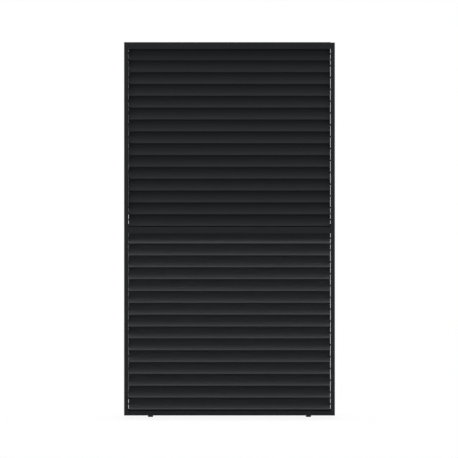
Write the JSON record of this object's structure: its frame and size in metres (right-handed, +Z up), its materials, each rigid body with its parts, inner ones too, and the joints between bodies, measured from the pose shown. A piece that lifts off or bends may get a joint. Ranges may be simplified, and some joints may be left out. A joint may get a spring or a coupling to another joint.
{
  "type": "adjustable louvre panel",
  "caption": "Tall aluminium privacy panel: a slim frame with a mid rail and two banks of linked horizontal louvre blades, each bank tilting on its own, on two low foot pads.",
  "frame": {"origin": "under the middle of the panel, at the height of the foot pads' undersides, at mid depth", "axes": "+X to the right seen from the front, -Y towards the front, +Z up"},
  "size_m": [1.18, 0.0496, 2.098],
  "materials": {
    "frame_powder_coat": "fine satin powder coat",
    "blade_powder_coat": "fine satin powder coat",
    "bar_aluminium": "dark anodised",
    "black_plastic": "fine moulded texture",
    "bush_nylon": "smooth moulded",
    "foot_plastic": "fine moulded texture",
    "zinc_steel": "zinc plated"
  },
  "bodies": {
    "frame": {"left_stile": "frame_powder_coat", "right_stile": "frame_powder_coat", "top_rail": "frame_powder_coat", "mid_rail": "frame_powder_coat", "bottom_rail": "frame_powder_coat", "left_stile_top_plug": "black_plastic", "left_stile_bottom_plug": "black_plastic", "right_stile_top_plug": "black_plastic", "right_stile_bottom_plug": "black_plastic", "left_frame_screws": "zinc_steel", "right_frame_screws": "zinc_steel", "left_fixing_caps": "black_plastic", "right_fixing_caps": "black_plastic", "upper_left_pivot_bushes": "bush_nylon", "upper_right_pivot_bushes": "bush_nylon", "lower_left_pivot_bushes": "bush_nylon", "lower_right_pivot_bushes": "bush_nylon", "foot_nuts": "zinc_steel"},
    "upper_blade_01": {"upper_blade_01": "blade_powder_coat"},
    "upper_blade_02": {"upper_blade_02": "blade_powder_coat"},
    "upper_blade_03": {"upper_blade_03": "blade_powder_coat"},
    "upper_blade_04": {"upper_blade_04": "blade_powder_coat"},
    "upper_blade_05": {"upper_blade_05": "blade_powder_coat"},
    "upper_blade_06": {"upper_blade_06": "blade_powder_coat"},
    "upper_blade_07": {"upper_blade_07": "blade_powder_coat"},
    "upper_blade_08": {"upper_blade_08": "blade_powder_coat"},
    "upper_blade_09": {"upper_blade_09": "blade_powder_coat"},
    "upper_blade_10": {"upper_blade_10": "blade_powder_coat"},
    "upper_blade_11": {"upper_blade_11": "blade_powder_coat"},
    "upper_blade_12": {"upper_blade_12": "blade_powder_coat"},
    "upper_blade_13": {"upper_blade_13": "blade_powder_coat"},
    "upper_blade_14": {"upper_blade_14": "blade_powder_coat"},
    "upper_blade_15": {"upper_blade_15": "blade_powder_coat"},
    "upper_link_bar": {"upper_link_bar": "bar_aluminium"},
    "lower_blade_01": {"lower_blade_01": "blade_powder_coat"},
    "lower_blade_02": {"lower_blade_02": "blade_powder_coat"},
    "lower_blade_03": {"lower_blade_03": "blade_powder_coat"},
    "lower_blade_04": {"lower_blade_04": "blade_powder_coat"},
    "lower_blade_05": {"lower_blade_05": "blade_powder_coat"},
    "lower_blade_06": {"lower_blade_06": "blade_powder_coat"},
    "lower_blade_07": {"lower_blade_07": "blade_powder_coat"},
    "lower_blade_08": {"lower_blade_08": "blade_powder_coat"},
    "lower_blade_09": {"lower_blade_09": "blade_powder_coat"},
    "lower_blade_10": {"lower_blade_10": "blade_powder_coat"},
    "lower_blade_11": {"lower_blade_11": "blade_powder_coat"},
    "lower_blade_12": {"lower_blade_12": "blade_powder_coat"},
    "lower_blade_13": {"lower_blade_13": "blade_powder_coat"},
    "lower_blade_14": {"lower_blade_14": "blade_powder_coat"},
    "lower_blade_15": {"lower_blade_15": "blade_powder_coat"},
    "lower_link_bar": {"lower_link_bar": "bar_aluminium"},
    "left_foot": {"left_foot_pad": "foot_plastic", "left_foot_stem": "zinc_steel"},
    "right_foot": {"right_foot_pad": "foot_plastic", "right_foot_stem": "zinc_steel"}
  },
  "joints": [
    {"name": "upper_blade_01_tilt", "type": "hinge", "parent": "frame", "child": "upper_blade_01", "pos_m": [0, 0, 2.033], "axis": [-1, 0, 0], "range_deg": [0, 77]},
    {"name": "upper_blade_02_tilt", "type": "hinge", "parent": "frame", "child": "upper_blade_02", "pos_m": [0, 0, 1.9667], "axis": [-1, 0, 0], "range_deg": [0, 77]},
    {"name": "upper_blade_03_tilt", "type": "hinge", "parent": "frame", "child": "upper_blade_03", "pos_m": [0, 0, 1.9004], "axis": [-1, 0, 0], "range_deg": [0, 77]},
    {"name": "upper_blade_04_tilt", "type": "hinge", "parent": "frame", "child": "upper_blade_04", "pos_m": [0, 0, 1.8341], "axis": [-1, 0, 0], "range_deg": [0, 77]},
    {"name": "upper_blade_05_tilt", "type": "hinge", "parent": "frame", "child": "upper_blade_05", "pos_m": [0, 0, 1.7678], "axis": [-1, 0, 0], "range_deg": [0, 77]},
    {"name": "upper_blade_06_tilt", "type": "hinge", "parent": "frame", "child": "upper_blade_06", "pos_m": [0, 0, 1.7015], "axis": [-1, 0, 0], "range_deg": [0, 77]},
    {"name": "upper_blade_07_tilt", "type": "hinge", "parent": "frame", "child": "upper_blade_07", "pos_m": [0, 0, 1.6352], "axis": [-1, 0, 0], "range_deg": [0, 77]},
    {"name": "upper_blade_08_tilt", "type": "hinge", "parent": "frame", "child": "upper_blade_08", "pos_m": [0, 0, 1.5689], "axis": [-1, 0, 0], "range_deg": [0, 77]},
    {"name": "upper_blade_09_tilt", "type": "hinge", "parent": "frame", "child": "upper_blade_09", "pos_m": [0, 0, 1.5026], "axis": [-1, 0, 0], "range_deg": [0, 77]},
    {"name": "upper_blade_10_tilt", "type": "hinge", "parent": "frame", "child": "upper_blade_10", "pos_m": [0, 0, 1.4363], "axis": [-1, 0, 0], "range_deg": [0, 77]},
    {"name": "upper_blade_11_tilt", "type": "hinge", "parent": "frame", "child": "upper_blade_11", "pos_m": [0, 0, 1.37], "axis": [-1, 0, 0], "range_deg": [0, 77]},
    {"name": "upper_blade_12_tilt", "type": "hinge", "parent": "frame", "child": "upper_blade_12", "pos_m": [0, 0, 1.3037], "axis": [-1, 0, 0], "range_deg": [0, 77]},
    {"name": "upper_blade_13_tilt", "type": "hinge", "parent": "frame", "child": "upper_blade_13", "pos_m": [0, 0, 1.2374], "axis": [-1, 0, 0], "range_deg": [0, 77]},
    {"name": "upper_blade_14_tilt", "type": "hinge", "parent": "frame", "child": "upper_blade_14", "pos_m": [0, 0, 1.1711], "axis": [-1, 0, 0], "range_deg": [0, 77]},
    {"name": "upper_blade_15_tilt", "type": "hinge", "parent": "frame", "child": "upper_blade_15", "pos_m": [0, 0, 1.1048], "axis": [-1, 0, 0], "range_deg": [0, 77]},
    {"name": "upper_link_bar_pivot", "type": "hinge", "parent": "upper_blade_01", "child": "upper_link_bar", "pos_m": [-0.5652, 0.0091, 2.0675], "axis": [-1, 0, 0], "range_deg": [-77, 0]},
    {"name": "lower_blade_01_tilt", "type": "hinge", "parent": "frame", "child": "lower_blade_01", "pos_m": [0, 0, 1.0008], "axis": [-1, 0, 0], "range_deg": [-18, 59]},
    {"name": "lower_blade_02_tilt", "type": "hinge", "parent": "frame", "child": "lower_blade_02", "pos_m": [0, 0, 0.9345], "axis": [-1, 0, 0], "range_deg": [-18, 59]},
    {"name": "lower_blade_03_tilt", "type": "hinge", "parent": "frame", "child": "lower_blade_03", "pos_m": [0, 0, 0.8682], "axis": [-1, 0, 0], "range_deg": [-18, 59]},
    {"name": "lower_blade_04_tilt", "type": "hinge", "parent": "frame", "child": "lower_blade_04", "pos_m": [0, 0, 0.8019], "axis": [-1, 0, 0], "range_deg": [-18, 59]},
    {"name": "lower_blade_05_tilt", "type": "hinge", "parent": "frame", "child": "lower_blade_05", "pos_m": [0, 0, 0.7356], "axis": [-1, 0, 0], "range_deg": [-18, 59]},
    {"name": "lower_blade_06_tilt", "type": "hinge", "parent": "frame", "child": "lower_blade_06", "pos_m": [0, 0, 0.6693], "axis": [-1, 0, 0], "range_deg": [-18, 59]},
    {"name": "lower_blade_07_tilt", "type": "hinge", "parent": "frame", "child": "lower_blade_07", "pos_m": [0, 0, 0.603], "axis": [-1, 0, 0], "range_deg": [-18, 59]},
    {"name": "lower_blade_08_tilt", "type": "hinge", "parent": "frame", "child": "lower_blade_08", "pos_m": [0, 0, 0.5367], "axis": [-1, 0, 0], "range_deg": [-18, 59]},
    {"name": "lower_blade_09_tilt", "type": "hinge", "parent": "frame", "child": "lower_blade_09", "pos_m": [0, 0, 0.4704], "axis": [-1, 0, 0], "range_deg": [-18, 59]},
    {"name": "lower_blade_10_tilt", "type": "hinge", "parent": "frame", "child": "lower_blade_10", "pos_m": [0, 0, 0.4041], "axis": [-1, 0, 0], "range_deg": [-18, 59]},
    {"name": "lower_blade_11_tilt", "type": "hinge", "parent": "frame", "child": "lower_blade_11", "pos_m": [0, 0, 0.3378], "axis": [-1, 0, 0], "range_deg": [-18, 59]},
    {"name": "lower_blade_12_tilt", "type": "hinge", "parent": "frame", "child": "lower_blade_12", "pos_m": [0, 0, 0.2715], "axis": [-1, 0, 0], "range_deg": [-18, 59]},
    {"name": "lower_blade_13_tilt", "type": "hinge", "parent": "frame", "child": "lower_blade_13", "pos_m": [0, 0, 0.2052], "axis": [-1, 0, 0], "range_deg": [-18, 59]},
    {"name": "lower_blade_14_tilt", "type": "hinge", "parent": "frame", "child": "lower_blade_14", "pos_m": [0, 0, 0.1389], "axis": [-1, 0, 0], "range_deg": [-18, 59]},
    {"name": "lower_blade_15_tilt", "type": "hinge", "parent": "frame", "child": "lower_blade_15", "pos_m": [0, 0, 0.0726], "axis": [-1, 0, 0], "range_deg": [-18, 59]},
    {"name": "lower_link_bar_pivot", "type": "hinge", "parent": "lower_blade_01", "child": "lower_link_bar", "pos_m": [-0.5652, 0.01932, 1.0308], "axis": [-1, 0, 0], "range_deg": [-59, 18]},
    {"name": "left_foot_screw", "type": "slide", "parent": "frame", "child": "left_foot", "axis": [0, 0, -1], "range_m": [0, 0.012]},
    {"name": "right_foot_screw", "type": "slide", "parent": "frame", "child": "right_foot", "axis": [0, 0, -1], "range_m": [0, 0.012]}
  ],
  "couplings": [
    {"joint": "upper_blade_02_tilt", "follows": "upper_blade_01_tilt", "ratio": 1},
    {"joint": "upper_blade_03_tilt", "follows": "upper_blade_01_tilt", "ratio": 1},
    {"joint": "upper_blade_04_tilt", "follows": "upper_blade_01_tilt", "ratio": 1},
    {"joint": "upper_blade_05_tilt", "follows": "upper_blade_01_tilt", "ratio": 1},
    {"joint": "upper_blade_06_tilt", "follows": "upper_blade_01_tilt", "ratio": 1},
    {"joint": "upper_blade_07_tilt", "follows": "upper_blade_01_tilt", "ratio": 1},
    {"joint": "upper_blade_08_tilt", "follows": "upper_blade_01_tilt", "ratio": 1},
    {"joint": "upper_blade_09_tilt", "follows": "upper_blade_01_tilt", "ratio": 1},
    {"joint": "upper_blade_10_tilt", "follows": "upper_blade_01_tilt", "ratio": 1},
    {"joint": "upper_blade_11_tilt", "follows": "upper_blade_01_tilt", "ratio": 1},
    {"joint": "upper_blade_12_tilt", "follows": "upper_blade_01_tilt", "ratio": 1},
    {"joint": "upper_blade_13_tilt", "follows": "upper_blade_01_tilt", "ratio": 1},
    {"joint": "upper_blade_14_tilt", "follows": "upper_blade_01_tilt", "ratio": 1},
    {"joint": "upper_blade_15_tilt", "follows": "upper_blade_01_tilt", "ratio": 1},
    {"joint": "upper_link_bar_pivot", "follows": "upper_blade_01_tilt", "ratio": -1},
    {"joint": "lower_blade_02_tilt", "follows": "lower_blade_01_tilt", "ratio": 1},
    {"joint": "lower_blade_03_tilt", "follows": "lower_blade_01_tilt", "ratio": 1},
    {"joint": "lower_blade_04_tilt", "follows": "lower_blade_01_tilt", "ratio": 1},
    {"joint": "lower_blade_05_tilt", "follows": "lower_blade_01_tilt", "ratio": 1},
    {"joint": "lower_blade_06_tilt", "follows": "lower_blade_01_tilt", "ratio": 1},
    {"joint": "lower_blade_07_tilt", "follows": "lower_blade_01_tilt", "ratio": 1},
    {"joint": "lower_blade_08_tilt", "follows": "lower_blade_01_tilt", "ratio": 1},
    {"joint": "lower_blade_09_tilt", "follows": "lower_blade_01_tilt", "ratio": 1},
    {"joint": "lower_blade_10_tilt", "follows": "lower_blade_01_tilt", "ratio": 1},
    {"joint": "lower_blade_11_tilt", "follows": "lower_blade_01_tilt", "ratio": 1},
    {"joint": "lower_blade_12_tilt", "follows": "lower_blade_01_tilt", "ratio": 1},
    {"joint": "lower_blade_13_tilt", "follows": "lower_blade_01_tilt", "ratio": 1},
    {"joint": "lower_blade_14_tilt", "follows": "lower_blade_01_tilt", "ratio": 1},
    {"joint": "lower_blade_15_tilt", "follows": "lower_blade_01_tilt", "ratio": 1},
    {"joint": "lower_link_bar_pivot", "follows": "lower_blade_01_tilt", "ratio": -1}
  ]
}
